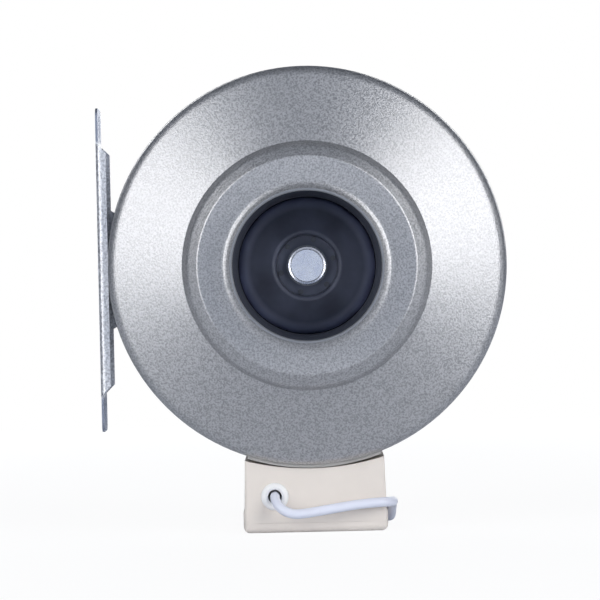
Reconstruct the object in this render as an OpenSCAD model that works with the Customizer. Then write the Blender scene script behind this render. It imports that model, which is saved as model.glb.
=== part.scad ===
// Inline duct fan: a pressed round steel casing with a spigot at each end, an external-rotor
// centrifugal fan on the casing axis, a folded wall bracket and a plastic terminal box.
// Millimetres, +Z up. The fan axis is Y, air enters at y = 0 and leaves at y = fan_l, and the
// origin is the centre of the inlet spigot's mouth. The fan stands on the lid of its box.

/* [Casing] */
// Length from spigot mouth to spigot mouth
fan_l = 200; // [196:1:206]
// Outside radius of the casing's band
casing_r = 128; // [126:0.5:130]
// Outside radius of both duct spigots
spigot_r = 48.5; // [48:0.5:49]
// Distance from a spigot's mouth to the casing's flat ring
spigot_l = 30; // [28:1:32]
// Outer radius of the flat ring around the spigot
flat_r = 69.5; // [68:0.5:71]
// Radius of the crease at the foot of the step
crease_r = 79; // [77:0.5:81]
// Depth of the step between flat ring and crease
step_h = 11; // [9:1:12]
// Slope of the cone between crease and rim, in degrees
cone_slope = 19.8; // [17:0.1:22]
// Thickness of the casing sheet
sheet = 1; // [0.8:0.1:1.2]

/* [Impeller and motor] */
// Outside radius of the impeller
wheel_r = 92; // [86:1:96]
// Number of blades
blade_count = 11; // [9:1:14]
// Thickness of one blade
blade_t = 1.5; // [1.2:0.1:2]
// Radius of the motor shaft
shaft_r = 4; // [3.5:0.5:4]

/* [Wall bracket] */
// Full height of the bracket with its ears
bracket_h = 210; // [200:2:220]
// Width of the bracket's channel along the fan axis
bracket_w = 48; // [46:1:50]
// Width of the bracket's two ears
ear_w = 36; // [24:1:38]
// Height of the part with folded flanges
channel_h = 164; // [150:1:166]
// Length of the slot in each ear
slot_l = 14; // [12:1:16]
// Width of the slot in each ear
slot_w = 6.5; // [5.5:0.5:7]

/* [Terminal box] */
// Width of the box across the fan axis, where the lid meets it
box_w = 92; // [90:0.5:92]
// Depth of the box along the fan axis
box_d = 70; // [68:1:70]
// Distance of the lid's underside below the fan axis
rest_z = 171.5; // [171:0.5:172]
// Wall thickness of box and lid
box_t = 2.2; // [2:0.1:2.4]

/* [Supply cord] */
// Diameter of the supply cord
cord_d = 6.2; // [6:0.1:6.4]
// Turns in each of the coil's two layers
coil_turns = 3; // [2:1:3]

/* [Hidden] */

$fn = 96;
gap = 0.1;                    // clearance between pieces that are fastened together
hammertone = "#A9ACB1";
zinc = "#C9CCD0";
black_plastic = "#23262D";
cream = "#DEDAD2";

// Casing: the sheet's middle surface from spigot mouth to rim as [radius, y, bend radius]
mid_r = casing_r - sheet / 2;
mid_spigot = spigot_r - sheet / 2;
crease_y = spigot_l + step_h;
rim_y = crease_y + (mid_r - crease_r) * tan(cone_slope);
END_SHELL = [
    [mid_spigot, 0, 0],
    [mid_spigot, spigot_l, 6.5],
    [flat_r, spigot_l, 2],
    [flat_r + 0.7 * (crease_r - flat_r), spigot_l + 0.42 * step_h, 7],
    [crease_r, crease_y, 1.5],
    [mid_r, rim_y, 8]
];
hem_t = 1.7;                  // thickness of the folded edge at a spigot's mouth
hem_l = 2.5;
lap_start = 92;               // the outlet half's tongue lies inside the inlet half from here
lap_end = 104;                // to here
tongue_r = casing_r - sheet - 0.2 - sheet / 2;
lap_y = 96.5;                 // the rivets' station
bead_r = casing_r + 2.4;      // rolled bead on the inlet half's free edge
bead_start = 100;
lap_angles = [0, 45, 90, 135, 225, 315];
arm_angles = [45, 135, 225, 315];
rivet_r = 2;
m4_r = 2;
m5_r = 2.5;

// Rotor and motor stations along the fan axis
hub_lip_y = 64.5;             // front edge of the impeller's hub
hub_floor_y = 72.9;           // middle of the hub's recessed floor
bell_y = 74.1;                // front face of the rotor bell
bell_r = 36.05;               // outside radius of the rotor bell
back_y = 105;                 // middle of the impeller's back plate
core_y = 82;                  // front of the stator and rotor stacks
core_l = 24;
flange_y = 116;               // front face of the motor flange
flange_t = 4;
support_y = flange_y + flange_t + gap;
support_t = 2;
bearing_r = 11;
bearing_l = 7;
front_bearing_y = 79.3;
rear_bearing_y = 111;
screw_r = 17.4;               // radius of the ring of screws in the hub's recess
hub_screw_angles = [15:60:315];
screw_pcr = 29;               // radius of the ring of motor screws
lead_y = 126.4;               // the motor lead runs down to the box at this station
lead_r = 2.5;
lead_start = 21;              // the lead leaves the motor flange this far below the axis

// Bracket: the plate's outer face lies at -plate_x
plate_x = 135;
plate_t = 1.5;
mid_y = fan_l / 2;
flange_x = 128.4;             // free edge of the flanges
saddle_x = 123.4;             // the rear flange reaches in to here at its saddle's ends
saddle_h = 36;                // half height of the saddle
bracket_screw_y = [mid_y - 13, mid_y + 13];

// Terminal box
box_x = 2;                    // the box's centre sits this far to the right of the axis
box_y = mid_y - box_d / 2;    // front wall
skirt_z = 158;                // top of the thicker rim where the lid meets the box
skirt_t = 0.5;
split_z = 165.1;              // joint between box and lid
roof_r = 166;                 // radius of the saddle under the casing
roof_z = casing_r + 2.3;      // lowest point of the saddle
pad_r = 6;                    // two pads on the saddle carry gasket and casing
gasket_t = 1.8;               // foam strip between casing and saddle
gasket_w = 86;
draft = 0.028;                // the side walls lean in by this slope
box_screw_y = [80, 114];
lid_post_x = box_w / 2 - 6.5;
lid_post_y = box_d / 2 - 6.5;
block_x = 4;                  // centre of the terminal block
block_y = 96;
block_l = 40;
block_w = 14;
block_h = 14;
block_z = 134;                // the block hangs from a platform at this depth
poles = 5;
cap_x = 34;                   // centre of the capacitor
cap_y = 95;
cap_size = [13, 37, 24];
cap_z = 134;
cable_x = -24;                // the cord enters the box here
cable_z = 148;
clamp_y = 76;
clamp_w = 8;
wire_r = 0.9;                 // radius of a conductor
tag_z = roof_z + box_t + 1.9; // the earth wire ends just under its tag

// Supply cord: route of the uncoiled stretch, from the clamp round the box to the coil
cord_r = cord_d / 2;
CORD_ROUTE = [
    [-24, 86, -148], [-24, 76, -148], [-24, 67, -148], [-23.9, 61, -148.4],
    [-23.4, 56.9, -150.1], [-21.9, 53.5, -152.8], [-19.2, 51.2, -155.4], [-15.4, 50, -157.4],
    [-11, 49.9, -158.4], [-5, 50.9, -158.2], [4, 52.8, -157.1], [14, 54.7, -155.7],
    [24, 56.2, -154.3], [32, 57, -153.4], [39, 57, -152.8], [44, 58, -152.6],
    [48.2, 60.8, -152.6], [51, 65, -152.7], [52, 70, -152.9], [52, 81, -153.8],
    [52, 92, -155.4], [52, 104, -157.9], [52, 116, -161.1], [52, 128, -164.6],
    [51.6, 140, -167.3], [49.8, 152, -168.4], [46.6, 164, -168.4], [44.2, 175, -168.4],
    [43.3, 186, -168.4]
];
coil_x = 2;
coil_y = 186;
coil_r = 32;                  // radius at the middle of the turns
TAIL_ROUTE = [
    [2, 227.3, -162.2], [-13.8, 224.1, -161.1], [-27.2, 215.2, -158.8], [-36.2, 201.8, -156.7],
    [-39.3, 186, -156], [-36.2, 170.4, -156], [-28, 159, -156], [-18.5, 154.6, -155.9],
    [-9.4, 156.2, -154.7], [-4.4, 163, -152.7], [-3, 172, -151.7]
];
plug_x = -3;
plug_y = 172;                 // the plug's strain relief starts here
plug_z = -151.6;
relief_l = 22;
plug_l = 28;
plug_w = 34;
plug_t = 14.8;
pin_l = 19;

// ---- Outlines --------------------------------------------------------------------------------

function unit(v) = v / norm(v);

// Points of the round corner of radius r between the lines a-v and v-b
function corner(a, v, b, r, n) =
    let (
        u = unit(a - v),
        w = unit(b - v),
        half = acos(u * w) / 2,
        c = v + unit(u + w) * r / sin(half),
        p = v + u * r / tan(half),
        from = atan2(p.y - c.y, p.x - c.x),
        turn = (cross(u, w) < 0 ? 1 : -1) * (180 - 2 * half)
    )
    [for (i = [0:n]) c + r * [cos(from + turn * i / n), sin(from + turn * i / n)]];

// A line through [x, y, bend radius] points, with its corners rounded
function bent(pts, n = 8) =
    [for (i = [0:len(pts) - 1])
        let (v = [pts[i].x, pts[i].y])
        each pts[i].z == 0 ? [v] : corner(
            [pts[i - 1].x, pts[i - 1].y], v, [pts[i + 1].x, pts[i + 1].y], pts[i].z, n)];

// Left-hand normal at point i, stretched so that both neighbouring segments shift by one unit
function miter(p, i) =
    let (
        before = unit(i == 0 ? p[1] - p[0] : p[i] - p[i - 1]),
        after = i == len(p) - 1 ? before : unit(p[i + 1] - p[i]),
        m = unit(before + after)
    )
    [-m.y, m.x] / (m * before);

function shifted(p, d) = [for (i = [0:len(p) - 1]) p[i] + d * miter(p, i)];
function reversed(p) = [for (i = [len(p) - 1:-1:0]) p[i]];

// Closed outline of a sheet of thickness t whose middle follows the line p
function strip(p, t) = concat(shifted(p, t / 2), reversed(shifted(p, -t / 2)));

// Rectangle w by d about the origin with rounded corners
function rounded_rect(w, d, r, n = 6) =
    [for (q = [0:3])
        let (c = [(q == 0 || q == 3 ? 1 : -1) * (w / 2 - r), (q < 2 ? 1 : -1) * (d / 2 - r)])
        for (i = [0:n]) c + r * [cos(90 * q + 90 * i / n), sin(90 * q + 90 * i / n)]];

// ---- Placement -------------------------------------------------------------------------------

// Turns the Z axis of its children onto the fan axis
module along_y() {
    rotate([-90, 0, 0]) children();
}

// A solid of revolution about the fan axis from [radius, y] points
module turned(points) {
    along_y() rotate_extrude($fn = 192) polygon(points);
}

// Places children at station y, with their X axis pointing outwards at an angle seen from the inlet
module radial(angle, y = 0) {
    translate([0, y, 0]) rotate([0, -angle, 0]) children();
}

// Round bar on the local X axis
module bar_x(r, from, to, fn = 32) {
    translate([from, 0, 0]) rotate([0, 90, 0]) cylinder(r = r, h = to - from, $fn = fn);
}

// Round bar parallel to the fan axis
module bar_y(x, z, r, from, to, fn = 32) {
    translate([x, from, z]) along_y() cylinder(r = r, h = to - from, $fn = fn);
}

// Round bar along Z
module bar_z(x, y, r, from, to, fn = 32) {
    translate([x, y, from]) cylinder(r = r, h = to - from, $fn = fn);
}

// A block from its lowest to its highest corner
module block(low, high) {
    translate(low) cube(high - low);
}

// A route with its corners cut off, which rounds it a little more each time
function eased(p) = concat(
    [p[0]],
    [for (i = [0:len(p) - 2]) each [0.75 * p[i] + 0.25 * p[i + 1], 0.25 * p[i] + 0.75 * p[i + 1]]],
    [p[len(p) - 1]]);

// Tube of radius r swept along a route, closed at both ends
module swept(route, r, sides) {
    last = len(route) - 1;
    rings = [for (i = [0:last])
        let (
            t = unit(route[min(i + 1, last)] - route[max(i - 1, 0)]),
            u = unit(cross(t, abs(t.z) > 0.9 ? [1, 0, 0] : [0, 0, 1])),
            w = cross(u, t)
        )
        for (k = [0:sides - 1])
            route[i] + r * (u * cos(360 * k / sides) + w * sin(360 * k / sides))];
    walls = [for (i = [0:last - 1], k = [0:sides - 1])
        let (a = i * sides + k, b = i * sides + (k + 1) % sides)
        [a, b, b + sides, a + sides]];
    polyhedron(
        points = rings,
        faces = concat(
            [[for (k = [sides - 1:-1:0]) k]],
            walls,
            [[for (k = [0:sides - 1]) last * sides + k]]),
        convexity = 6);
}

// Blind rivet set from outside at radius r through a stack of the given thickness
module rivet(r, stack) {
    bar_x(rivet_r - 0.05, r - stack - 1, r + 0.5);
    bar_x(rivet_r + 1.3, r + 0.06, r + 1.1);
    bar_x(rivet_r + 0.7, r - stack - 2.6, r - stack - 0.15);
}

// ---- Casing ----------------------------------------------------------------------------------

module hem(y) {
    turned([
        [spigot_r - hem_t, y + 0.5],
        [spigot_r - hem_t + 0.5, y],
        [spigot_r, y],
        [spigot_r, y + hem_l],
        [spigot_r - hem_t, y + hem_l]
    ]);
}

module inlet_casing() {
    color(hammertone) difference() {
        union() {
            turned(strip(bent(concat(END_SHELL, [[mid_r, lap_end, 0]])), sheet));
            hem(0);
            turned([
                [mid_r, bead_start],
                [bead_r - 1.3, bead_start + 0.2],
                [bead_r - 0.4, bead_start + 0.8],
                [bead_r, bead_start + 1.6],
                [bead_r, lap_end - 1.2],
                [bead_r - 0.4, lap_end - 0.4],
                [bead_r - 1.3, lap_end],
                [mid_r, lap_end]
            ]);
        }
        for (a = lap_angles) radial(a, lap_y) bar_x(rivet_r, casing_r - 5, casing_r + 5);
        radial(180, bracket_screw_y[0]) bar_x(m5_r + 0.1, casing_r - 5, casing_r + 5);
        radial(270, box_screw_y[0]) bar_x(m4_r + 0.2, casing_r - 5, casing_r + 5);
    }
}

module outlet_casing() {
    mirrored = [for (p = END_SHELL) [p.x, fan_l - p.y, p.z]];
    joggle = [[mid_r, lap_end + 3.5, 1], [tongue_r, lap_end + 1, 1], [tongue_r, lap_start, 0]];
    color(hammertone) difference() {
        union() {
            turned(strip(bent(concat(mirrored, joggle)), sheet));
            translate([0, fan_l, 0]) mirror([0, 1, 0]) hem(0);
        }
        for (a = lap_angles) radial(a, lap_y) bar_x(rivet_r, casing_r - 5, casing_r + 5);
        for (a = arm_angles) foot_rivet(a) bar_x(rivet_r, casing_r - 5, casing_r + 5);
        radial(180, bracket_screw_y[1]) bar_x(m5_r + 0.1, casing_r - 5, casing_r + 5);
        radial(270, box_screw_y[1]) bar_x(m4_r + 0.2, casing_r - 5, casing_r + 5);
        radial(270, lead_y) bar_x(5, casing_r - 5, casing_r + 5);
    }
}

module casing_rivets() {
    color(zinc) for (a = lap_angles) radial(a, lap_y) rivet(casing_r, 2 * sheet + 0.3);
}

// Rounded inlet nozzle behind the flat ring, reaching into the impeller's eye
module inlet_ring() {
    ring_t = 1.5;
    flange_mid = spigot_l + sheet / 2 + gap + ring_t / 2;
    nozzle_r = 44.75;
    color(black_plastic)
        turned(strip(bent([[67, flange_mid, 0], [nozzle_r, flange_mid, 9], [nozzle_r, 58, 0]]), ring_t));
}

// ---- Motor support and motor -----------------------------------------------------------------

// Axis of the rivet in an arm's foot, beside the arm's web
module foot_rivet(angle) {
    radial(angle, support_y + 8) translate([0, 0, 4.8]) children();
}

// Spider: a dished plate behind the motor and four edge-on arms riveted to the casing's band
module motor_support() {
    arm_t = 2;
    arm_w = 16;
    foot_r = casing_r - sheet - 0.4;
    plate_r = 43;
    color(zinc) difference() {
        union() {
            turned(strip(bent([
                [14, support_y + support_t / 2, 0],
                [plate_r, support_y + support_t / 2, 1.5],
                [plate_r, support_y + 3.4, 0]
            ]), support_t));
            for (a = arm_angles) radial(a, support_y) {
                translate([plate_r, 0, -arm_t / 2]) cube([foot_r - plate_r, arm_w, arm_t]);
                translate([foot_r - support_t, 0, -8]) cube([support_t, arm_w, 16]);
            }
        }
        for (a = arm_angles) {
            foot_rivet(a) bar_x(rivet_r, foot_r - 5, foot_r + 5);
            radial(a) bar_y(screw_pcr, 0, m4_r + 0.2, support_y - 5, support_y + 5);
        }
        bar_y(0, -lead_start, lead_r + 1, support_y - 5, support_y + 5);
    }
}

module support_rivets() {
    color(zinc) for (a = arm_angles) foot_rivet(a) rivet(casing_r, sheet + 2.5);
}

// Cast flange with the tube that carries both bearings and the stator
module motor_flange() {
    tube_r = 13.5;
    rear = flange_y + flange_t;
    color("#B9BCC0") difference() {
        turned([
            [9.4, front_bearing_y + bearing_l + 0.1],
            [bearing_r + 0.05, front_bearing_y + bearing_l + 0.1],
            [bearing_r + 0.05, front_bearing_y],
            [tube_r, front_bearing_y],
            [tube_r, flange_y - 1.5],
            [tube_r + 1.5, flange_y],
            [38, flange_y],
            [38, rear],
            [bearing_r + 0.05, rear],
            [bearing_r + 0.05, rear_bearing_y - 0.1],
            [9.4, rear_bearing_y - 0.1]
        ]);
        for (a = arm_angles) radial(a) bar_y(screw_pcr, 0, m4_r, flange_y - 1, rear + 1);
        bar_y(0, -lead_start, lead_r + 0.2, flange_y - 1, rear + 1);
    }
}

module motor_screws() {
    head_y = support_y + support_t;
    color(zinc) for (a = arm_angles) radial(a) difference() {
        union() {
            bar_y(screw_pcr, 0, m4_r - 0.05, flange_y - 0.5, head_y + 1);
            bar_y(screw_pcr, 0, 3.6, head_y + 0.05, head_y + 2.5);
        }
        translate([screw_pcr, head_y + 1.2, 0]) along_y() {
            translate([-2, -0.4, 0]) cube([4, 0.8, 3]);
            translate([-0.4, -2, 0]) cube([0.8, 4, 3]);
        }
    }
}

module bearing_cap() {
    rear = flange_y + flange_t + 0.05;
    color(zinc) turned(strip(bent([
        [13.2, rear + 0.4, 0], [10.4, rear + 0.4, 0.5], [10.4, rear + 5, 1.5], [0, rear + 5, 0]
    ]), 0.8));
}

module stator_core() {
    color("#7C7F84") difference() {
        turned([[13.6, core_y], [26.4, core_y], [26.4, core_y + core_l], [13.6, core_y + core_l]]);
        for (a = [0:30:330]) radial(a) bar_y(20, 0, 2.7, core_y - 1, core_y + core_l + 1, 24);
    }
}

// Copper turns: one bundle through each slot of the stack and an end turn at each face
module stator_windings() {
    rear = core_y + core_l;
    color("#B06A3A") {
        for (a = [0:30:330]) radial(a) bar_y(20, 0, 2.6, core_y - 1, rear + 1, 24);
        turned([
            [15, core_y - 0.1], [15, core_y - 3], [17, core_y - 4],
            [24, core_y - 4], [25, core_y - 3], [25, core_y - 0.1]
        ]);
        turned([
            [15, rear + 0.1], [25, rear + 0.1], [25, rear + 5],
            [24, rear + 6], [17, rear + 6], [15, rear + 5]
        ]);
    }
}

// Ball bearing with recessed shields, running on the shaft
module bearing(y) {
    bore = shaft_r + 0.05;
    color("#D5D8DB") turned([
        [bore, y], [5.8, y], [5.8, y + 0.5], [9.3, y + 0.5], [9.3, y], [bearing_r, y],
        [bearing_r, y + bearing_l], [9.3, y + bearing_l], [9.3, y + bearing_l - 0.5],
        [5.8, y + bearing_l - 0.5], [5.8, y + bearing_l], [bore, y + bearing_l]
    ]);
}

module front_bearing() {
    bearing(front_bearing_y);
}

module rear_bearing() {
    bearing(rear_bearing_y);
}

// Sheathed lead from the motor flange, down behind the support and into the box
module motor_lead() {
    bend = 6;
    bend_z = lead_start + bend;
    color("#2B2B2D") {
        bar_y(0, -lead_start, lead_r, flange_y - 3, lead_y - bend);
        translate([0, lead_y - bend, -bend_z]) rotate([90, 0, 90])
            rotate_extrude(angle = 90) translate([bend, 0]) circle(r = lead_r, $fn = 32);
        bar_z(0, lead_y, lead_r, -roof_z - 12, -bend_z);
    }
}

// Rubber bush around the lead, from inside the casing through the box roof
module lead_grommet() {
    top = casing_r - sheet - 0.4;
    color("#303236") translate([0, lead_y, 0]) rotate_extrude($fn = 48) polygon([
        [lead_r + 0.1, 2 - top], [5.5, 2 - top], [7, 1 - top], [7, -top], [4.85, -top],
        [4.85, -roof_z - box_t - 0.5], [6.2, -roof_z - box_t - 0.5],
        [6.2, -roof_z - box_t - 1.6], [lead_r + 0.1, -roof_z - box_t - 2.5]
    ]);
}

// ---- Rotor -----------------------------------------------------------------------------------

// Space between back plate and shroud, which trims the blades
module blade_room() {
    turned([
        [50, back_y - 1.1], [wheel_r, back_y - 1.1], [wheel_r, 79.8], [56, 67], [50, 64]
    ]);
}

// Hub over the rotor bell and the back plate round it
module impeller_wheel() {
    wall = 2;
    dome_r = 43;              // the dome's shoulder, just inside the inlet nozzle's bore
    dome_y = 76;
    color(black_plastic) difference() {
        turned(strip(bent([
            [wheel_r, back_y, 0],
            [dome_r, back_y, 3],
            [dome_r, dome_y, 9],
            [21, hub_lip_y, 1.2],
            [20.4, hub_floor_y, 1.2],
            [13.2, hub_floor_y, 0]
        ]), wall));
        for (a = hub_screw_angles) radial(a) bar_y(screw_r, 0, 1.3, hub_floor_y - 2, hub_floor_y + 2);
    }
}

// Backward-curved blades, welded between the back plate and the shroud
module impeller_blades() {
    arc_r = 118;              // radius of a blade's curve
    arc_offset = 76;          // distance of its centre from the axis
    color(black_plastic) intersection() {
        blade_room();
        along_y() for (i = [0:blade_count - 1]) rotate(360 * i / blade_count)
            linear_extrude(height = back_y) intersection() {
                translate([arc_offset, 0]) difference() {
                    circle(r = arc_r + blade_t / 2, $fn = 256);
                    circle(r = arc_r - blade_t / 2, $fn = 256);
                }
                translate([-wheel_r, 0]) square([2 * wheel_r, wheel_r + 5]);
            }
    }
}

// Front ring of the impeller, welded onto the blades
module impeller_shroud() {
    color(black_plastic) turned(strip(bent([[48.6, 55, 0], [48.6, 62.5, 7], [wheel_r, 78, 0]]), 1.8));
}

module impeller_screws() {
    floor_y = hub_floor_y - 1;
    color(zinc) for (a = hub_screw_angles) radial(a) {
        bar_y(screw_r, 0, 1.7, floor_y - 1.4, floor_y - 0.05);
        bar_y(screw_r, 0, 1.2, floor_y - 1, bell_y + 2.2);
    }
}

// Plain bright cap over the shaft's front end, with a raised rim
module rotor_cap() {
    cap_r = 12.4;
    color("#CFD4DC") turned([
        [0, 67.4], [10.2, 67.4], [10.8, 66.7], [cap_r - 0.5, 66.4], [cap_r, 66.9],
        [cap_r, bell_y - 0.05], [cap_r - 0.8, bell_y - 0.05], [cap_r - 0.8, 68.4], [0, 68.4]
    ]);
}

module rotor_bell() {
    color("#8D9196") difference() {
        union() {
            turned(strip(bent([
                [shaft_r + 0.02, bell_y + 0.65, 0], [bell_r - 0.65, bell_y + 0.65, 4],
                [bell_r - 0.65, 112, 0]
            ]), 1.3));
            turned([[shaft_r + 0.02, bell_y + 1], [5.6, bell_y + 1], [5.6, 79], [shaft_r + 0.02, 79]]);
        }
        for (a = hub_screw_angles) radial(a) bar_y(screw_r, 0, 1.3, bell_y - 1, bell_y + 5);
    }
}

// Cage ring pressed into the bell
module rotor_core() {
    color("#6F7277") turned([
        [27, core_y], [34.65, core_y], [34.65, core_y + core_l], [27, core_y + core_l]
    ]);
}

module motor_shaft() {
    groove = [118.4, 119.2];
    color("#D9DCDF") turned([
        [0, 70], [shaft_r - 0.5, 70], [shaft_r, 70.5], [shaft_r, groove[0]],
        [shaft_r - 0.6, groove[0]], [shaft_r - 0.6, groove[1]], [shaft_r, groove[1]],
        [shaft_r, 121], [shaft_r - 0.5, 121.5], [0, 121.5]
    ]);
}

module shaft_circlip() {
    color("#55585C") difference() {
        turned([[shaft_r - 0.55, 118.45], [6.2, 118.45], [6.2, 119.15], [shaft_r - 0.55, 119.15]]);
        block([0, 118, -1.6], [8, 120, 1.6]);
    }
}

// ---- Wall bracket ----------------------------------------------------------------------------

// Conical dimple that sets a screw head below the plate and meets the casing
module dimple() {
    tip = casing_r + 0.2 + plate_t / 2;
    rotate([0, 90, 0]) rotate_extrude($fn = 48)
        polygon(strip(bent([[9.5, plate_x - plate_t / 2, 0], [8, plate_x - plate_t / 2, 0.8],
            [5.6, tip, 0.8], [m5_r + 0.1, tip, 0]]), plate_t));
}

// Upright sheet of one flange seen along the fan axis, with chamfered ends; the saddle reaches
// in to the casing above and below the middle
module flange_sheet(y, saddle) {
    half = channel_h / 2;
    depth = plate_x - flange_x;
    edge = [[-plate_x + 1, half - 1], [-flange_x, half - depth], [-flange_x, saddle_h + 3]];
    inner = saddle ? [[-saddle_x, saddle_h], [-saddle_x, 0]] : [[-flange_x, 0]];
    translate([0, y + plate_t, 0]) rotate([90, 0, 0]) linear_extrude(height = plate_t) difference() {
        for (s = [0, 1]) mirror([0, s]) polygon(concat(edge, inner, [[-plate_x + 1, 0]]));
        circle(r = casing_r + 0.15, $fn = 192);
    }
}

module mount_bracket() {
    half = channel_h / 2;
    left = mid_y - bracket_w / 2;
    ear_r = 6;
    bend_r = 2.75;
    mid_x = plate_t / 2 - plate_x;
    profile = strip(bent([
        [-plate_x + 5, left + plate_t / 2, 0],
        [mid_x, left + plate_t / 2, bend_r],
        [mid_x, left + bracket_w - plate_t / 2, bend_r],
        [-plate_x + 5, left + bracket_w - plate_t / 2, 0]
    ], 6), plate_t);
    chamfer = 6;
    color(hammertone) difference() {
        union() {
            intersection() {
                translate([0, 0, -half]) linear_extrude(height = channel_h) polygon(profile);
                translate([0, left + bracket_w + 1, 0]) rotate([90, 0, 0])
                    linear_extrude(height = bracket_w + 2) polygon([
                        [-plate_x, half], [chamfer - plate_x, half - chamfer],
                        [chamfer - plate_x, chamfer - half], [-plate_x, -half]
                    ]);
            }
            translate([plate_t - plate_x, mid_y, 0]) rotate([0, -90, 0])
                linear_extrude(height = plate_t) polygon(rounded_rect(bracket_h, ear_w, ear_r));
            intersection() {
                union() {
                    flange_sheet(left, false);
                    flange_sheet(left + bracket_w - plate_t, true);
                }
                block([4 - plate_x, left - 1, -half], [-saddle_x + 1, left + bracket_w + 1, half]);
            }
        }
        for (y = bracket_screw_y) radial(180, y) bar_x(8.4, plate_x - 3, plate_x + 2, 48);
        for (s = [-1, 1]) translate([-plate_x - 1, mid_y, s * (bracket_h - 23) / 2]) rotate([0, 90, 0]) {
            for (e = [-1, 1]) translate([e * (slot_l - slot_w) / 2, 0, 0])
                cylinder(d = slot_w, h = plate_t + 2, $fn = 48);
            translate([-(slot_l - slot_w) / 2, -slot_w / 2, 0])
                cube([slot_l - slot_w, slot_w, plate_t + 2]);
        }
    }
    color(hammertone) for (y = bracket_screw_y) radial(180, y) dimple();
}

module bracket_screws() {
    seat = casing_r + 0.2 + plate_t + 0.1;
    color(zinc) for (y = bracket_screw_y) radial(180, y) {
        difference() {
            bar_x(4.3, seat, seat + 2.6);
            translate([seat + 1.4, -2.4, -0.45]) cube([3, 4.8, 0.9]);
            translate([seat + 1.4, -0.45, -2.4]) cube([3, 0.9, 4.8]);
        }
        bar_x(m5_r - 0.05, casing_r - 6.5, seat + 0.5);
    }
}

// Hexagon nut on the inside of the casing wall
module weld_nut(across, hole, height) {
    top = casing_r - sheet - 0.15;
    translate([top - height, 0, 0]) rotate([0, 90, 0]) difference() {
        cylinder(d = across / cos(30), h = height, $fn = 6);
        translate([0, 0, -1]) cylinder(r = hole, h = height + 2, $fn = 32);
    }
}

module bracket_nuts() {
    color(zinc) for (y = bracket_screw_y) radial(180, y) weld_nut(8, m5_r, 4);
}

// ---- Terminal box ----------------------------------------------------------------------------

// Upright prism with rounded corners about the box's centre
module box_prism(grow, from, to, r) {
    translate([box_x, mid_y, from]) linear_extrude(height = to - from)
        polygon(rounded_rect(box_w + 2 * grow, box_d + 2 * grow, r));
}

// The same with side walls that lean in towards the top
module drafted_prism(grow, from, to, r) {
    foot = box_w / 2 + grow;
    head = foot - draft * (to - from);
    intersection() {
        box_prism(grow, from, to, r);
        translate([box_x, mid_y + box_d, from]) rotate([90, 0, 0]) linear_extrude(height = 2 * box_d)
            polygon([[-foot, 0], [foot, 0], [head, to - from], [-head, to - from]]);
    }
}

// Everything above the saddle, lowered by grow
module above_saddle(grow) {
    translate([0, box_y - 10, roof_r - roof_z]) along_y()
        cylinder(r = roof_r + grow, h = box_d + 20, $fn = 256);
}

// Solid parts inside the box: posts for the lid screws and platforms for the fittings
module box_posts() {
    for (sx = [-1, 1], sy = [-1, 1])
        bar_z(box_x + sx * lid_post_x, mid_y + sy * lid_post_y, 4, -split_z + 0.5, -115);
    block([block_x - 20, block_y - 6, -block_z], [block_x + 20, block_y + 6, -120]);
    block([cap_x - 5, cap_y - 12, 0.1 - cap_z], [cap_x + 5, cap_y + 12, -120]);
    block([cable_x - 11, clamp_y, 0.5 - cable_z], [cable_x + 11, clamp_y + clamp_w, -120]);
}

// Holes for the lid screws, box screws, leads, clamp, block and strap
module box_holes() {
    for (sx = [-1, 1], sy = [-1, 1])
        bar_z(box_x + sx * lid_post_x, mid_y + sy * lid_post_y, 1.75, -split_z - 1, -148);
    for (y = box_screw_y) bar_z(0, y, m4_r + 0.2, -block_z - 2, -120);
    bar_z(0, lead_y, 5, -block_z - 2, -120);
    bar_y(cable_x, -cable_z, 6.5, box_y - 5, box_y + 5);
    bar_y(cable_x, -cable_z, cord_r + 0.1, clamp_y - 1, clamp_y + clamp_w + 1);
    for (s = [-1, 1]) {
        bar_z(cable_x + 7 * s, clamp_y + clamp_w / 2, 1.55, -cable_z - 1, -cable_z + 11);
        bar_z(block_x + 16 * s, block_y, 1.3, -block_z - 1, -block_z + 3.5);
        bar_z(cap_x, cap_y + 7 * s, 1.3, -cap_z - 1, -cap_z + 5);
    }
}

// Box with a saddle-shaped roof, which has two pads under the casing and a groove for its bead
module terminal_box() {
    top = 9 - roof_z;
    color(cream) difference() {
        union() {
            difference() {
                union() {
                    drafted_prism(0, -split_z, top, 3);
                    box_prism(skirt_t, -split_z, -skirt_z, 4);
                }
                difference() {
                    drafted_prism(-box_t, -split_z - 1, top, 1.5);
                    above_saddle(box_t);
                }
                above_saddle(0);
            }
            difference() {
                intersection() {
                    drafted_prism(-1, -split_z, top, 1.5);
                    box_posts();
                }
                above_saddle(0.1);
            }
            for (y = box_screw_y) bar_z(0, y, pad_r, -roof_z - 1, -casing_r - gasket_t - 0.15);
        }
        translate([0, bead_start - 0.3, 0]) along_y()
            cylinder(r = bead_r + 0.3, h = lap_end - bead_start + 0.6, $fn = 192);
        box_holes();
    }
}

// Foam gasket that follows the casing, parted by the casing's bead
module box_gasket() {
    inner = casing_r + 0.1;
    color("#B9B7B2") difference() {
        intersection() {
            turned([[inner, box_y + 0.4], [inner, box_y + box_d - 0.4],
                [inner + gasket_t, box_y + box_d - 0.4], [inner + gasket_t, box_y + 0.4]]);
            block([box_x - gasket_w / 2, box_y, -casing_r - 5], [box_x + gasket_w / 2, box_y + box_d, -100]);
        }
        translate([0, bead_start - 0.3, 0]) along_y()
            cylinder(r = bead_r + 0.3, h = lap_end - bead_start + 0.6, $fn = 192);
        for (y = box_screw_y) bar_z(0, y, m4_r + 0.4, -casing_r - 5, -casing_r + 5);
        bar_z(0, lead_y, 5.2, -casing_r - 5, -casing_r + 5);
    }
}

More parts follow.
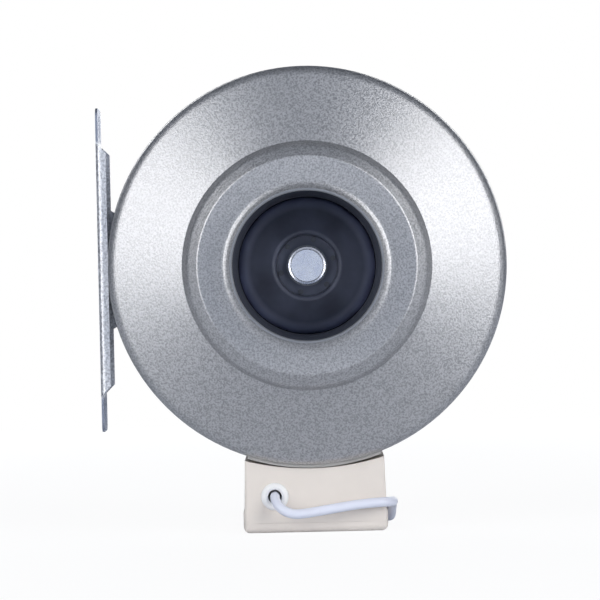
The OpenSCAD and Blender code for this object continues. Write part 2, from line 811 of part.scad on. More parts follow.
// Lid: a shallow tray with a rounded lower edge, whose flat underside is the fan's foot
module box_lid() {
    w = box_w + 2 * skirt_t;
    d = box_d + 2 * skirt_t;
    h = rest_z - split_z - gap;
    edge_r = 4.6;             // rounding of the lower edge
    color(cream) difference() {
        union() {
            intersection() {
                box_prism(skirt_t, -rest_z, -rest_z + h, 4);
                translate([box_x, mid_y + d, -rest_z]) rotate([90, 0, 0]) linear_extrude(height = 2 * d)
                    polygon(bent([[-w / 2, h, 0], [-w / 2, 0, edge_r], [w / 2, 0, edge_r], [w / 2, h, 0]]));
                translate([box_x - w, mid_y, -rest_z]) rotate([90, 0, 90]) linear_extrude(height = 2 * w)
                    polygon(bent([[-d / 2, h, 0], [-d / 2, 0, edge_r], [d / 2, 0, edge_r], [d / 2, h, 0]]));
            }
            box_prism(-box_t - 0.25, -rest_z + 1, -split_z + 3, 1.2);
        }
        difference() {
            box_prism(-box_t - 1.8, -rest_z + box_t, -split_z + 4, 1);
            for (sx = [-1, 1], sy = [-1, 1])
                bar_z(box_x + sx * lid_post_x, mid_y + sy * lid_post_y, 4.4, -rest_z, -split_z + 0.1);
        }
        for (sx = [-1, 1], sy = [-1, 1]) {
            bar_z(box_x + sx * lid_post_x, mid_y + sy * lid_post_y, 1.9, -rest_z - 1, -split_z + 5);
            bar_z(box_x + sx * lid_post_x, mid_y + sy * lid_post_y, 3.5, -rest_z - 1, -rest_z + 3);
            bar_z(box_x + sx * lid_post_x, mid_y + sy * lid_post_y, 4.3, -split_z + 0.2, -split_z + 5);
        }
    }
}

module lid_screws() {
    color(zinc) for (sx = [-1, 1], sy = [-1, 1])
    translate([box_x + sx * lid_post_x, mid_y + sy * lid_post_y, -rest_z]) {
        difference() {
            bar_z(0, 0, 3.2, 0.6, 2.9);
            block([-2.2, -0.4, 0], [2.2, 0.4, 1.7]);
            block([-0.4, -2.2, 0], [0.4, 2.2, 1.7]);
        }
        bar_z(0, 0, 1.7, 2.5, 19);
    }
}

// Two screws hold the box to the casing
module box_screws() {
    head = [roof_z + box_t + 0.1, roof_z + box_t + 1];
    color(zinc) for (i = [0, 1]) {
        bar_z(0, box_screw_y[i], m4_r - 0.05, -head[i] - 1, -casing_r + 6);
        difference() {
            bar_z(0, box_screw_y[i], 3.6, -head[i] - 2.4, -head[i]);
            block([-2.2, box_screw_y[i] - 0.4, -head[i] - 3], [2.2, box_screw_y[i] + 0.4, -head[i] - 1.2]);
        }
    }
}

module box_nuts() {
    color(zinc) for (y = box_screw_y) radial(270, y) weld_nut(7, m4_r, 3.2);
}

// Ring tag under the rear screw, which earths the casing
module earth_tag() {
    top = -roof_z - box_t - 0.1;
    color("#C7A14A") difference() {
        union() {
            bar_z(0, box_screw_y[1], 4.2, top - 0.8, top);
            block([-12, box_screw_y[1] - 2, top - 0.8], [0, box_screw_y[1] + 2, top]);
        }
        bar_z(0, box_screw_y[1], m4_r + 0.15, top - 2, top + 1);
    }
}

// Five-pole strip with a wire hole through each pole and a screw from below
module terminal_block() {
    top = -block_z - 0.1;
    color("#E9E8E3") difference() {
        union() {
            block([block_x - block_l / 2, block_y - 3, top - block_h],
                [block_x + block_l / 2, block_y + 3, top]);
            for (i = [0:poles - 1])
                block([block_x - 20 + 8 * i + 0.6, block_y - block_w / 2, top - block_h + 2],
                    [block_x - 12 + 8 * i - 0.6, block_y + block_w / 2, top]);
        }
        for (i = [0:poles - 1]) {
            bar_y(block_x - 16 + 8 * i, top - 7, 1.9, block_y - 10, block_y + 10, 24);
            for (s = [-1, 1]) bar_z(block_x - 16 + 8 * i, block_y + 4.6 * s, 1.7, top - block_h, top - 7, 24);
        }
        for (s = [-1, 1]) bar_z(block_x + 16 * s, block_y, 1.3, top - block_h - 1, top + 1);
    }
}

module terminal_screws() {
    top = -block_z - 0.1;
    color("#C7A14A") for (i = [0:poles - 1], s = [-1, 1])
        bar_z(block_x - 16 + 8 * i, block_y + 4.6 * s, 1.6, top - block_h + 2.4, top - 8.2, 24);
}

module block_screws() {
    under = -block_z - 0.1 - block_h;
    color(zinc) for (s = [-1, 1]) {
        bar_z(block_x + 16 * s, block_y, 1.2, under - 1, -block_z + 3);
        bar_z(block_x + 16 * s, block_y, 2.2, under - 1.5, under - 0.05);
    }
}

module capacitor() {
    color("#E4E4E0") translate([cap_x, cap_y, -cap_z - 2.2 - cap_size.z])
        linear_extrude(height = cap_size.z) polygon(rounded_rect(cap_size.x, cap_size.y, 1.5, 4));
}

// Steel strap that holds the capacitor to the roof by two feet beyond its ends
module capacitor_strap() {
    low = -cap_z - 2.2 - cap_size.z - 0.1;
    half = cap_size.y / 2 + 0.2;
    color(zinc) difference() {
        union() {
            translate([cap_x - 4, cap_y, 0]) rotate([90, 0, 90]) linear_extrude(height = 8)
                polygon(strip([
                    [-half - 0.4, -cap_z - 0.5], [-half - 0.4, low - 0.4],
                    [half + 0.4, low - 0.4], [half + 0.4, -cap_z - 0.5]
                ], 0.8));
            block([cap_x - 4, cap_y - half - 0.4, -cap_z - 1.3],
                [cap_x + 4, cap_y + half + 0.4, -cap_z - 0.5]);
        }
        for (s = [-1, 1]) bar_z(cap_x, cap_y + 7 * s, 1.3, -cap_z - 3, -cap_z + 3);
    }
}

module strap_screws() {
    color(zinc) for (s = [-1, 1]) {
        bar_z(cap_x, cap_y + 7 * s, 1.2, -cap_z - 1.35, -cap_z + 4);
        bar_z(cap_x, cap_y + 7 * s, 2.3, -cap_z - 2.1, -cap_z - 1.35);
    }
}

// Bar that clamps the cord's sheath against its saddle in the box
module cord_clamp() {
    color("#E9E8E3") difference() {
        block([cable_x - 11, clamp_y, -cable_z - 5.5], [cable_x + 11, clamp_y + clamp_w, -cable_z - 0.5]);
        bar_y(cable_x, -cable_z, cord_r + 0.1, clamp_y - 1, clamp_y + clamp_w + 1);
        for (s = [-1, 1]) bar_z(cable_x + 7 * s, clamp_y + clamp_w / 2, 1.6, -cable_z - 8, -cable_z + 1);
    }
}

module clamp_screws() {
    color(zinc) for (s = [-1, 1]) {
        bar_z(cable_x + 7 * s, clamp_y + clamp_w / 2, 1.45, -cable_z - 6, -cable_z + 10);
        bar_z(cable_x + 7 * s, clamp_y + clamp_w / 2, 2.8, -cable_z - 7.6, -cable_z - 5.55);
    }
}

// Round bush in the box's front wall
module cable_grommet() {
    color("#F2F3F5") translate([cable_x, 0, -cable_z]) turned([
        [4.45, box_y - 0.9], [5, box_y - 1.7], [6, box_y - 2.2], [7.4, box_y - 2], [8.5, box_y - 1.3],
        [8.9, box_y - 0.1], [6.4, box_y - 0.1], [6.4, box_y + box_t + 0.1], [7.8, box_y + box_t + 0.1],
        [7.2, box_y + box_t + 1.6], [4.45, box_y + box_t + 1.6]
    ]);
}

// Conductors from the cord's sheath to the block and to the earth tag
module supply_wires() {
    y = 86.5;
    in_y = block_y - 5.5;
    color("#7A4A2B") {
        swept(eased(eased([[cable_x + 1.6, y, -147], [cable_x + 2, y + 4, -146], [block_x - 16, y, -141.1],
            [block_x - 16, in_y, -141.1]])), wire_r, 8);
        swept(eased(eased([[cable_x + 1.6, y, -149.6], [cable_x + 3, y + 3, -151], [block_x - 8, y - 2, -148],
            [block_x - 8, y, -141.1], [block_x - 8, in_y, -141.1]])), wire_r, 8);
        swept(eased(eased([[cable_x - 1.6, y, -148.2], [cable_x - 2, y + 12, -148], [cable_x, y + 24, -140],
            [-18, box_screw_y[1], -tag_z - 0.7], [-11, box_screw_y[1], -tag_z]])), wire_r, 8);
    }
}

// Conductors from the motor lead to the block
module motor_wires() {
    top = -roof_z - 12.1;
    out_y = block_y + 5.5;
    color("#3B4C7A") for (i = [-1:1])
        swept(eased(eased([[1.4 * i, lead_y, top], [1.4 * i, lead_y, top - 4],
            [block_x + 8 * i, lead_y - 8, top - 5], [block_x + 8 * i, out_y + 5, -141.1],
            [block_x + 8 * i, out_y, -141.1]])), wire_r, 8);
}

// ---- Supply cord -----------------------------------------------------------------------------

module power_cord() {
    color("#CDD3E2") swept(CORD_ROUTE, cord_r, 12);
}

// Outer shape of the wound coil: two layers of turns side by side
module cord_coil() {
    half = coil_turns * cord_d / 2 + cord_r;
    low = -rest_z;
    high = low + 2 * cord_d;
    c = 2;
    color("#CDD3E2") translate([coil_x, coil_y, 0]) rotate_extrude($fn = 96) polygon([
        [coil_r - half + c, low], [coil_r + half - c, low], [coil_r + half, low + c],
        [coil_r + half, high - c], [coil_r + half - c, high], [coil_r - half + c, high],
        [coil_r - half, high - c], [coil_r - half, low + c]
    ]);
}

module cord_tail() {
    color("#CDD3E2") swept(TAIL_ROUTE, cord_r, 12);
}

// Band around the turns
module cord_tie() {
    half = coil_turns * cord_d / 2 + cord_r;
    t = 0.6;
    color("#2E2F33") translate([coil_x, coil_y, -rest_z]) rotate([0, 0, 300]) translate([coil_r, -2.5, 0])
        difference() {
            block([-half - t, 0, 0], [half + t, 5, 2 * cord_d + t]);
            block([-half + 0.1, -1, t], [half - 0.1, 6, 2 * cord_d - 0.1]);
        }
}

// Moulded flat plug with a ribbed strain relief, lying on the coil
module plug_body() {
    color("#CDD3E2") translate([plug_x, plug_y, plug_z]) {
        along_y() cylinder(r1 = 4.1, r2 = 6, h = relief_l + 0.5, $fn = 48);
        for (i = [0:4]) translate([0, 2.5 + 4 * i, 0]) along_y()
            cylinder(r = 5 + 0.35 * i, h = 1.8, $fn = 48);
        translate([0, relief_l, -plug_t / 2]) linear_extrude(height = plug_t) polygon(bent([
            [0, 0, 0], [9, 0, 3], [plug_w / 2, 9, 4], [plug_w / 2, plug_l, 1.5], [-plug_w / 2, plug_l, 1.5],
            [-plug_w / 2, 9, 4], [-9, 0, 3], [-0.01, 0, 0]
        ]));
    }
}

// Two current pins and an earth pin set below their line
module plug_pins() {
    y = plug_y + relief_l + plug_l;
    color(zinc) for (p = [[-9.5, 2.5], [0, -2.5], [9.5, 2.5]])
        translate([plug_x + p.x, y + 0.05, plug_z + p.y]) along_y() {
            cylinder(r = 2, h = pin_l - 1.5, $fn = 32);
            translate([0, 0, pin_l - 1.5]) cylinder(r1 = 2, r2 = 1.2, h = 1.5, $fn = 32);
        }
}

inlet_casing();
outlet_casing();
casing_rivets();
inlet_ring();
motor_support();
support_rivets();
motor_flange();
motor_screws();
bearing_cap();
stator_core();
stator_windings();
front_bearing();
rear_bearing();
motor_lead();
lead_grommet();
impeller_wheel();
impeller_blades();
impeller_shroud();
impeller_screws();
rotor_cap();
rotor_bell();
rotor_core();
motor_shaft();
shaft_circlip();
mount_bracket();
bracket_screws();
bracket_nuts();
terminal_box();
box_gasket();
box_lid();
lid_screws();
box_screws();
box_nuts();
earth_tag();
terminal_block();
terminal_screws();
block_screws();
capacitor();
capacitor_strap();
strap_screws();
cord_clamp();
clamp_screws();
cable_grommet();
supply_wires();
motor_wires();
power_cord();
cord_coil();
cord_tail();
cord_tie();
plug_body();
plug_pins();
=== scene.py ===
"""Looks of the inline duct fan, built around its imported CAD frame. Metres, +Z up, fan axis along Y."""
import math

import bmesh
import bpy
from mathutils import Matrix, Vector


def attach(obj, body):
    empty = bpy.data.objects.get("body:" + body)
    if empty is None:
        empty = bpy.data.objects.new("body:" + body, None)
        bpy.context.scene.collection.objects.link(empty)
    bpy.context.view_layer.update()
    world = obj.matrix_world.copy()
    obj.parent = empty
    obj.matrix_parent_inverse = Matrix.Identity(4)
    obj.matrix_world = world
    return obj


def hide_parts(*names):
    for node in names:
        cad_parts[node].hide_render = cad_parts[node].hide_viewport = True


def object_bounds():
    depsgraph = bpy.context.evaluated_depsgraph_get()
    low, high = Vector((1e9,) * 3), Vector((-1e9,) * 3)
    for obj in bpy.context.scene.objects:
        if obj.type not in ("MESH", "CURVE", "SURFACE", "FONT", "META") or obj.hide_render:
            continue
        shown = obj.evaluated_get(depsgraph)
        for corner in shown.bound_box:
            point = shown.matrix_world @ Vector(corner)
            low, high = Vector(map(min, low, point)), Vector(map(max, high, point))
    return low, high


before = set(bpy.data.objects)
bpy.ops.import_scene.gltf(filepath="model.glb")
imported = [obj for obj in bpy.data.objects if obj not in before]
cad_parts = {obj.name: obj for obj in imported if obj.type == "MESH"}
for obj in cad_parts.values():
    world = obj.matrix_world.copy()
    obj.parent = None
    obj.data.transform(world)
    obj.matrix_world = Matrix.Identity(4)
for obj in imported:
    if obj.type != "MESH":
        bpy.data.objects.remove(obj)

CAD_LOW, CAD_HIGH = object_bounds()
MM = 0.001


def look_along(place, aim):
    """The turn and place of a camera or light at place that looks at aim."""
    return Matrix.Translation(place) @ (aim - place).to_track_quat("-Z", "Y").to_matrix().to_4x4()


# ---- Camera ----------------------------------------------------------------------------------

CAMERA_DISTANCE = 2.14      # in front of the inlet's mouth, on the fan's axis
CAMERA_LENS = 206           # millimetres
SENSOR_WIDTH = 36           # millimetres
CAMERA_ROLL = math.radians(-1.3)
CAMERA_AIM = Vector((-0.005, 0.062, -0.022))


def make_camera():
    """A long lens on the fan's axis, aimed a little below it and rolled slightly."""
    data = bpy.data.cameras.new("camera")
    data.lens = CAMERA_LENS
    data.sensor_width = SENSOR_WIDTH
    data.clip_start = 0.1
    data.clip_end = 50
    camera = bpy.data.objects.new("camera", data)
    bpy.context.scene.collection.objects.link(camera)
    place = Vector((0, -CAMERA_DISTANCE, 0))
    camera.matrix_world = look_along(place, CAMERA_AIM) @ Matrix.Rotation(CAMERA_ROLL, 4, "Z")
    bpy.context.scene.camera = camera


make_camera()


# ---- Supply cord -----------------------------------------------------------------------------

CORD_D = 6.2 * MM
CORD_SIDES = 20
STEPS_BETWEEN_POINTS = 4

# The coil lies behind the box in two layers. These and the two routes are in millimetres.
COIL_CENTRE = (2, 186)
COIL_OUTER, COIL_INNER = 41.3, 22.7
LAYER_Z = (-168.4, -162.2)
LAYER_ANGLE = 3 * 360       # three turns in each layer
RISE_ANGLE = 90             # a quarter turn to climb from one layer to the other
COIL_STEP = 15              # degrees from one point of the coil to the next

# Out of the grommet, across the front of the box, round its right side and back to the coil.
ROUTE = [
    (-24, 86, -148), (-24, 76, -148), (-24, 67, -148), (-23.9, 61, -148.4),
    (-23.4, 56.9, -150.1), (-21.9, 53.5, -152.8), (-19.2, 51.2, -155.4), (-15.4, 50, -157.4),
    (-11, 49.9, -158.4), (-5, 50.9, -158.2), (4, 52.8, -157.1), (14, 54.7, -155.7),
    (24, 56.2, -154.3), (32, 57, -153.4), (39, 57, -152.8), (44, 58, -152.6),
    (48.2, 60.8, -152.6), (51, 65, -152.7), (52, 70, -152.9), (52, 81, -153.8),
    (52, 92, -155.4), (52, 104, -157.9), (52, 116, -161.1), (52, 128, -164.6),
    (51.6, 140, -167.3), (49.8, 152, -168.4), (46.6, 164, -168.4), (44.2, 175, -168.4),
]

# From the top of the coil, over its turns and into the plug that lies on them.
TAIL_ROUTE = [
    (-13.8, 224.1, -161.1), (-27.2, 215.2, -158.8), (-36.2, 201.8, -156.7),
    (-39.3, 186, -156), (-36.2, 170.4, -156), (-28, 159, -156), (-18.5, 154.6, -155.9),
    (-9.4, 156.2, -154.7), (-4.4, 163, -152.7), (-3, 172, -151.7),
]


def coil_route():
    """Turns of the coil: inwards on the floor, up at the middle, outwards on top."""
    points = []
    for angle in range(0, 2 * LAYER_ANGLE + RISE_ANGLE + 1, COIL_STEP):
        inwards = min(angle, LAYER_ANGLE) / LAYER_ANGLE
        outwards = max(angle - LAYER_ANGLE - RISE_ANGLE, 0) / LAYER_ANGLE
        lifted = min(max(angle - LAYER_ANGLE, 0) / RISE_ANGLE, 1)
        radius = COIL_OUTER + (COIL_INNER - COIL_OUTER) * (inwards - outwards)
        points.append((
            COIL_CENTRE[0] + radius * math.cos(math.radians(angle)),
            COIL_CENTRE[1] + radius * math.sin(math.radians(angle)),
            LAYER_Z[0] + (LAYER_Z[1] - LAYER_Z[0]) * lifted,
        ))
    return points


def through(points, steps):
    """A smooth line through points (Catmull-Rom), with steps short pieces between neighbours."""
    ends = [2 * points[0] - points[1], *points, 2 * points[-1] - points[-2]]
    line = []
    for a, b, c, d in zip(ends, ends[1:], ends[2:], ends[3:]):
        for step in range(steps):
            t = step / steps
            line.append(0.5 * (2 * b + (c - a) * t + (2 * a - 5 * b + 4 * c - d) * t ** 2
                               + (3 * b - a - 3 * c + d) * t ** 3))
    return line + [points[-1]]


def cross_sections(line, radius, sides):
    """Rings of points round a line, each turned as little as possible from the one before."""
    side = Vector((0, 0, 1))
    for i, place in enumerate(line):
        along = (line[min(i + 1, len(line) - 1)] - line[max(i - 1, 0)]).normalized()
        side = (side - along * side.dot(along)).normalized()
        other = along.cross(side)
        yield [place + radius * (side * math.cos(t) + other * math.sin(t))
               for t in (math.tau * k / sides for k in range(sides))]


def tube(name, line, diameter, sides):
    """A closed round tube along a line, as a smooth mesh."""
    mesh = bmesh.new()
    rings = [[mesh.verts.new(p) for p in ring] for ring in cross_sections(line, diameter / 2, sides)]
    for near, far in zip(rings, rings[1:]):
        for k in range(sides):
            n = (k + 1) % sides
            mesh.faces.new((near[k], near[n], far[n], far[k])).smooth = True
    mesh.faces.new(rings[0][::-1])
    mesh.faces.new(rings[-1])
    data = bpy.data.meshes.new(name)
    mesh.to_mesh(data)
    mesh.free()
    made = bpy.data.objects.new(name, data)
    bpy.context.scene.collection.objects.link(made)
    return made


def make_cord():
    """The whole supply cord, from the clamp inside the box to the plug on the coil."""
    points = [Vector(p) * MM for p in [*ROUTE, *coil_route(), *TAIL_ROUTE]]
    line = through(points, STEPS_BETWEEN_POINTS)
    cord = tube("supply_cord", line, CORD_D, CORD_SIDES)
    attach(cord, "housing")
    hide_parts("power_cord", "cord_coil", "cord_tail")
    return cord


cord = make_cord()


# ---- Materials -------------------------------------------------------------------------------

def rgba(colour, factor=1.0):
    """An opaque colour, made darker or lighter by a factor."""
    return (*(factor * c for c in colour), 1)


def grey(value):
    return rgba((value, value, value))


class Nodes:
    """A node tree with short calls for the nodes that go into it."""

    def __init__(self, tree):
        self.tree = tree

    def put(self, value, socket):
        """Links a socket to another one, or sets it to a value."""
        if isinstance(value, bpy.types.NodeSocket):
            self.tree.links.new(value, socket)
        else:
            socket.default_value = value

    def node(self, kind, values, **settings):
        made = self.tree.nodes.new(kind)
        for key, value in settings.items():
            setattr(made, key, value)
        for key, value in values.items():
            self.put(value, made.inputs[key])
        return made

    def range(self, value, low, high, to_low=0.0, to_high=1.0):
        values = {"Value": value, "From Min": low, "From Max": high, "To Min": to_low, "To Max": to_high}
        return self.node("ShaderNodeMapRange", values).outputs["Result"]

    def math(self, operation, a, b=0.0):
        return self.node("ShaderNodeMath", {0: a, 1: b}, operation=operation).outputs["Value"]

    def camera_sees(self, share, white, other):
        """Mixes plain white into what the camera sees; what the metal mirrors stays as it is."""
        seen = self.node("ShaderNodeLightPath", {}).outputs["Is Camera Ray"]
        values = {0: self.math("MULTIPLY", seen, share), 1: other, 2: white}
        return self.node("ShaderNodeMixShader", values).outputs["Shader"]


class Finish(Nodes):
    """A Principled material; lengths in its pattern are in metres, as everywhere else."""

    def __init__(self, name, **sockets):
        self.material = bpy.data.materials.new(name)
        self.material.use_nodes = True
        super().__init__(self.material.node_tree)
        self.shader = self.tree.nodes["Principled BSDF"]
        for socket, value in sockets.items():
            self.shader.inputs[socket.replace("_", " ")].default_value = value
        self.place = self.node("ShaderNodeTexCoord", {}).outputs["Object"]

    def noise(self, scale, detail=3, distortion=0, place=None):
        values = {"Vector": place or self.place, "Scale": scale, "Detail": detail, "Distortion": distortion}
        return self.node("ShaderNodeTexNoise", values).outputs["Fac"]

    def spread(self, noise, to_low=0.0, to_high=1.0):
        """Stretches a noise, most of which lies between 0.3 and 0.7, over a whole range."""
        return self.range(noise, 0.3, 0.7, to_low, to_high)

    def crystals(self, scale, place):
        """Cells that each have a tone of their own."""
        return self.node("ShaderNodeTexVoronoi", {"Vector": place, "Scale": scale}).outputs["Color"]

    def layers(self, scale, distortion=0):
        """Bands across the fan's axis."""
        values = {"Vector": self.place, "Scale": scale, "Distortion": distortion}
        return self.node("ShaderNodeTexWave", values, bands_direction="Y").outputs["Fac"]

    def stretched(self, x, y, z):
        return self.node("ShaderNodeMapping", {"Vector": self.place, "Scale": (x, y, z)}).outputs["Vector"]

    def wobbled(self, scale, amount):
        """The place moved about by a noise, which makes regular cells irregular."""
        noise = self.node("ShaderNodeTexNoise", {"Vector": self.place, "Scale": scale}).outputs["Color"]
        values = {0: noise, 1: (amount,) * 3, 2: self.place}
        return self.node("ShaderNodeVectorMath", values, operation="MULTIPLY_ADD").outputs["Vector"]

    def along(self, axis):
        """How far a point lies along an axis of the frame."""
        return self.node("ShaderNodeSeparateXYZ", {"Vector": self.place}).outputs[axis]

    def off_axis(self):
        """How far a point lies from the fan's axis."""
        values = {0: self.stretched(1, 0, 1)}
        return self.node("ShaderNodeVectorMath", values, operation="LENGTH").outputs["Value"]

    def mix(self, share, a, b):
        made = self.node("ShaderNodeMix", {}, data_type="RGBA")
        for key, value in {"Factor": share, "A": a, "B": b}.items():
            self.put(value, next(s for s in made.inputs if s.name == key and s.enabled))
        return next(s for s in made.outputs if s.enabled)

    def feed(self, socket, value):
        self.tree.links.new(value, self.shader.inputs[socket])

    def bump(self, height, strength, depth):
        values = {"Height": height, "Strength": strength, "Distance": depth}
        self.feed("Normal", self.node("ShaderNodeBump", values).outputs["Normal"])

    def grain(self, size, roughness):
        """Fine grain of moulded plastic, in its sheen and its surface."""
        speck = self.noise(1 / size, detail=2)
        self.feed("Roughness", self.spread(speck, roughness - 0.05, roughness + 0.07))
        self.bump(speck, 0.25, 0.05 * MM)


def hammertone(name, cell, tint, painted_shade, axis, middle, start, end):
    """Hammered silver paint: bright specks on a darker ground.

    Its colour turns to a darker one, a painted shade, between start and end, distances from middle along an
    axis.
    """
    f = Finish(name, Metallic=0.75, Coat_Weight=0.2, Coat_Roughness=0.2)
    specks = f.range(f.noise(1.15 / cell, detail=1, distortion=0.4), 0.36, 0.6)
    clouds = f.spread(f.noise(0.4 / cell, detail=1), 0.86, 1.0)
    bright = f.math("MULTIPLY", specks, clouds)
    paint = f.mix(bright, rgba(tint, 0.63), rgba(tint))
    away = f.math("ABSOLUTE", f.math("SUBTRACT", f.along(axis), middle))
    # Painted shade: the colour darkens towards the edge given by start and end.
    f.feed("Base Color", f.mix(f.range(away, start, end), paint, rgba(painted_shade)))
    f.feed("Roughness", f.range(bright, 0, 1, 0.36, 0.45))
    dents = f.range(f.noise(30), 0, 1, 0, 1.5)
    f.bump(f.math("ADD", bright, dents), 0.42, 0.1 * MM)
    return f.material


def moulded(name, colour, roughness, grain, variation=0.06, **sockets):
    """Moulded plastic: fine grain, slight flow marks and an uneven sheen."""
    f = Finish(name, **sockets)
    flow = f.spread(f.noise(45, detail=4))
    f.feed("Base Color", f.mix(flow, rgba(colour, 1 - variation), rgba(colour)))
    f.grain(grain, roughness)
    return f.material


def impeller_plastic(name, colour):
    """Filled black plastic, lighter round the shoulder of the hub's dome and beyond it: painted light in
    the deep gap behind the inlet, where shade falls.
    """
    f = Finish(name)
    outwards = f.range(f.off_axis(), 36 * MM, 43 * MM)
    forwards = f.range(f.along("Y"), 95 * MM, 85 * MM)
    # Painted light: up to four times lighter away from the axis and in front of the back plate.
    painted_light = f.math("MULTIPLY", outwards, forwards)
    flow = f.spread(f.noise(45, detail=4), 0.0, 0.25)
    f.feed("Base Color", f.mix(f.math("ADD", painted_light, flow), rgba(colour), rgba(colour, 4)))
    f.grain(0.8 * MM, 0.46)
    return f.material


def plated(name, colour, roughness=0.3, variation=0.18):
    """Plated or bare metal with faint stains and fine scratches."""
    f = Finish(name, Metallic=1.0)
    stain = f.spread(f.noise(180, detail=5))
    f.feed("Base Color", f.mix(stain, rgba(colour, 1 - variation), rgba(colour)))
    scratch = f.noise(600, detail=2, place=f.stretched(1, 0.08, 1))
    f.feed("Roughness", f.spread(scratch, roughness - 0.08, roughness + 0.1))
    f.bump(scratch, 0.12, 0.03 * MM)
    return f.material


def spangled(name, colour):
    """Galvanised sheet with large zinc crystals."""
    f = Finish(name, Metallic=0.95)
    crystal = f.crystals(140, f.wobbled(60, 6 * MM))
    f.feed("Base Color", f.mix(crystal, rgba(colour, 0.7), rgba(colour)))
    f.feed("Roughness", f.spread(f.noise(300), 0.28, 0.46))
    f.bump(f.noise(900, detail=2), 0.1, 0.03 * MM)
    return f.material


def satin_cap(name):
    """Bright pressed cap with a soft satin surface."""
    f = Finish(name, Metallic=0.85)
    cloud = f.noise(220, detail=3)
    f.feed("Base Color", f.mix(f.spread(cloud), rgba((0.84, 0.86, 0.95)), rgba((0.96, 0.97, 1))))
    f.feed("Roughness", f.spread(f.noise(1500), 0.2, 0.3))
    f.bump(cloud, 0.15, 0.1 * MM)
    return f.material


def laminated(name):
    """Stack of thin electrical sheets across the fan's axis."""
    f = Finish(name, Metallic=0.9)
    sheets = f.layers(320)
    f.feed("Base Color", f.mix(sheets, grey(0.08), grey(0.34)))
    f.feed("Roughness", f.spread(f.noise(400), 0.38, 0.55))
    f.bump(sheets, 0.4, 0.1 * MM)
    return f.material


def enamelled_wire(name):
    """Varnished copper turns."""
    f = Finish(name, Metallic=0.8, Coat_Weight=0.6, Coat_Roughness=0.15)
    turns = f.layers(420, distortion=3)
    f.feed("Base Color", f.mix(turns, rgba((0.2, 0.05, 0.02)), rgba((0.62, 0.24, 0.1))))
    f.feed("Roughness", f.spread(f.noise(300), 0.25, 0.4))
    f.bump(turns, 0.6, 0.2 * MM)
    return f.material


# The casing's paint is darkened along the edges of both mouths, which lie 100 mm from its middle: painted
# shade.
CASING_PAINT = hammertone(
    "hammertone_paint", cell=1.35 * MM, tint=(0.565, 0.566, 0.577), painted_shade=(0.29, 0.3, 0.32),
    axis="Y", middle=100 * MM, start=99.1 * MM, end=99.7 * MM)

# The bracket's paint is a lighter copy of the casing's, painted light; on the two ears, above and below the
# folded part of the plate, it turns darker and bluish, painted shade.
BRACKET_PAINT = hammertone(
    "bracket_paint", cell=1.9 * MM, tint=(0.84, 0.85, 0.88), painted_shade=(0.3, 0.33, 0.41),
    axis="Z", middle=0, start=82 * MM, end=84 * MM)

# Each material slot of the record and its finish.
LOOKS = {
    "hammertone": CASING_PAINT,
    "zinc": plated("zinc_plate", (0.62, 0.64, 0.66)),
    "zinc_sheet": spangled("galvanised_sheet", (0.6, 0.62, 0.65)),
    "black_coat": moulded("black_coat", (0.042, 0.048, 0.068), 0.5, 0.9 * MM),
    "cast_alloy": plated("cast_alloy", (0.5, 0.51, 0.53), roughness=0.5),
    "stack_steel": laminated("stack_steel"),
    "copper": enamelled_wire("enamelled_copper"),
    "bearing_steel": plated("bearing_steel", (0.66, 0.67, 0.68), roughness=0.18, variation=0.06),
    "rotor_steel": plated("rotor_steel", (0.36, 0.37, 0.39), roughness=0.42),
    "black_oxide": plated("black_oxide", (0.12, 0.125, 0.14), roughness=0.45),
    "black_sheath": moulded("black_sheath", (0.02, 0.02, 0.022), 0.45, 0.7 * MM),
    "rubber": moulded("black_rubber", (0.025, 0.025, 0.028), 0.6, 0.5 * MM),
    "impeller_plastic": impeller_plastic("impeller_plastic", (0.088, 0.097, 0.134)),
    "cap_metal": satin_cap("satin_cap"),
    "cream_plastic": moulded("cream_plastic", (0.845, 0.775, 0.7), 0.45, 0.45 * MM, variation=0.04),
    "white_nylon": moulded("white_nylon", (0.75, 0.74, 0.7), 0.38, 0.6 * MM, Subsurface_Weight=0.05),
    "brass": plated("brass", (0.78, 0.58, 0.28), roughness=0.28),
    "gasket_foam": moulded("gasket_foam", (0.62, 0.6, 0.56), 0.8, 1.1 * MM, variation=0.2),
    "grommet_white": moulded("grommet_white", (0.97, 0.965, 0.95), 0.5, 0.5 * MM, variation=0.03),
    "wire_brown": moulded("wire_brown", (0.12, 0.045, 0.02), 0.4, 0.4 * MM),
    "wire_blue": moulded("wire_blue", (0.03, 0.08, 0.3), 0.4, 0.4 * MM),
    "cord_sheath": moulded("cord_sheath", (0.84, 0.865, 0.97), 0.4, 0.6 * MM, variation=0.04),
    "tie_plastic": moulded("tie_plastic", (0.02, 0.02, 0.022), 0.4, 0.4 * MM),
    "plated_brass": plated("nickel_plate", (0.7, 0.69, 0.66), roughness=0.2, variation=0.08),
}

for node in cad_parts.values():
    for slot in node.material_slots:
        slot.material = LOOKS[slot.material.name]
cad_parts["mount_bracket"].material_slots[0].material = BRACKET_PAINT
cord.data.materials.append(LOOKS["cord_sheath"])


# ---- Floor and light -------------------------------------------------------------------------

FLOOR_RADIUS = 1.5
FLOOR_GAP = 0.2 * MM        # below the object's lowest point, so that no two faces coincide
FLOOR_GLOW = 1.06
FLOOR_WHITE_SHARE = 0.86    # of what the camera sees; the rest shows shadows
ROOM_COLOUR = (0.313, 0.38, 0.515)
WHITE = (1, 1, 1)
WARM = (1, 0.987, 0.965)
LIGHT_AIM = Vector((0, 0.06, 0))

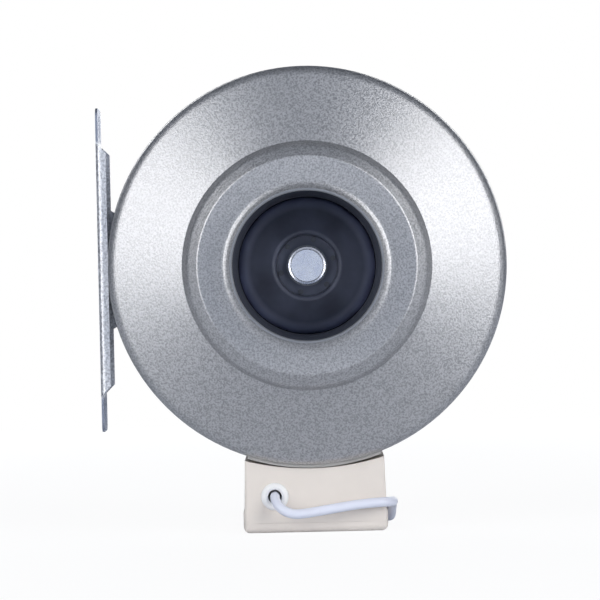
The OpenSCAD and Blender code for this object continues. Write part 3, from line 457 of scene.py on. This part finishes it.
# Name, place, width and height, watts and colour: two tall soft boxes in front, two boxes behind
# the fan, a weak card behind the camera and a weak one on the right.
LIGHTS = [
    ("soft_box_left", (-1.0, -1.05, 0.2), (0.75, 1.8), 15.4, WARM),
    ("rear_box_left", (-0.65, 1.9, 0.5), (0.8, 0.9), 9, WHITE),
    ("soft_box_right", (1.0, -1.05, 0.2), (0.75, 1.8), 16.9, WARM),
    ("rear_box_right", (0.65, 1.9, 0.5), (0.8, 0.9), 9, WHITE),
    ("front_card", (0, -2.6, 0), (0.5, 0.5), 0.37, WHITE),
    ("side_light", (1.5, 0, 0.1), (0.4, 0.7), 0.7, WHITE),
]


def make_floor():
    """A pale round table top under the fan, nearly lost in the white behind it."""
    bpy.ops.mesh.primitive_circle_add(vertices=128, radius=FLOOR_RADIUS, fill_type="NGON")
    floor = bpy.context.object
    floor.name = "floor"
    floor.location = (0, 0.1, CAD_LOW.z - FLOOR_GAP)
    f = Finish("floor_white", Roughness=0.8)
    f.feed("Base Color", f.mix(f.noise(3), rgba((0.74, 0.77, 0.83)), rgba((0.77, 0.8, 0.86))))
    glow = f.node("ShaderNodeEmission", {"Color": grey(1), "Strength": FLOOR_GLOW}).outputs["Emission"]
    seen = f.camera_sees(FLOOR_WHITE_SHARE, glow, f.shader.outputs["BSDF"])
    f.put(seen, f.tree.nodes["Material Output"].inputs["Surface"])
    floor.data.materials.append(f.material)


def make_world():
    """White behind everything; the room the metal mirrors is bluish, darker above, beside and behind."""
    world = bpy.data.worlds.new("room")
    bpy.context.scene.world = world
    world.use_nodes = True
    w = Nodes(world.node_tree)
    generated = w.node("ShaderNodeTexCoord", {}).outputs["Generated"]
    direction = w.node("ShaderNodeSeparateXYZ", {"Vector": generated}).outputs
    above = w.range(direction["Z"], 0.1, 0.8, 1.0, 0.35)
    behind = w.range(direction["Y"], -0.4, 0.4, 1.0, 0.4)
    beside = w.range(w.math("ABSOLUTE", direction["X"]), 0.6, 0.92, 1.0, 0.38)
    room = w.tree.nodes["Background"]
    w.put(rgba(ROOM_COLOUR), room.inputs["Color"])
    w.put(w.math("MULTIPLY", w.math("MULTIPLY", above, behind), beside), room.inputs["Strength"])
    white = w.node("ShaderNodeBackground", {"Color": grey(1)})
    seen = w.camera_sees(1, white.outputs["Background"], room.outputs["Background"])
    w.put(seen, w.tree.nodes["World Output"].inputs["Surface"])


def make_light(name, place, size, power, colour):
    data = bpy.data.lights.new(name, "AREA")
    data.shape = "RECTANGLE"
    data.size, data.size_y = size
    data.energy = power
    data.color = colour
    light = bpy.data.objects.new(name, data)
    bpy.context.scene.collection.objects.link(light)
    light.matrix_world = look_along(Vector(place), LIGHT_AIM)


make_floor()
make_world()
for light in LIGHTS:
    make_light(*light)
bpy.context.scene.view_settings.view_transform = "Standard"
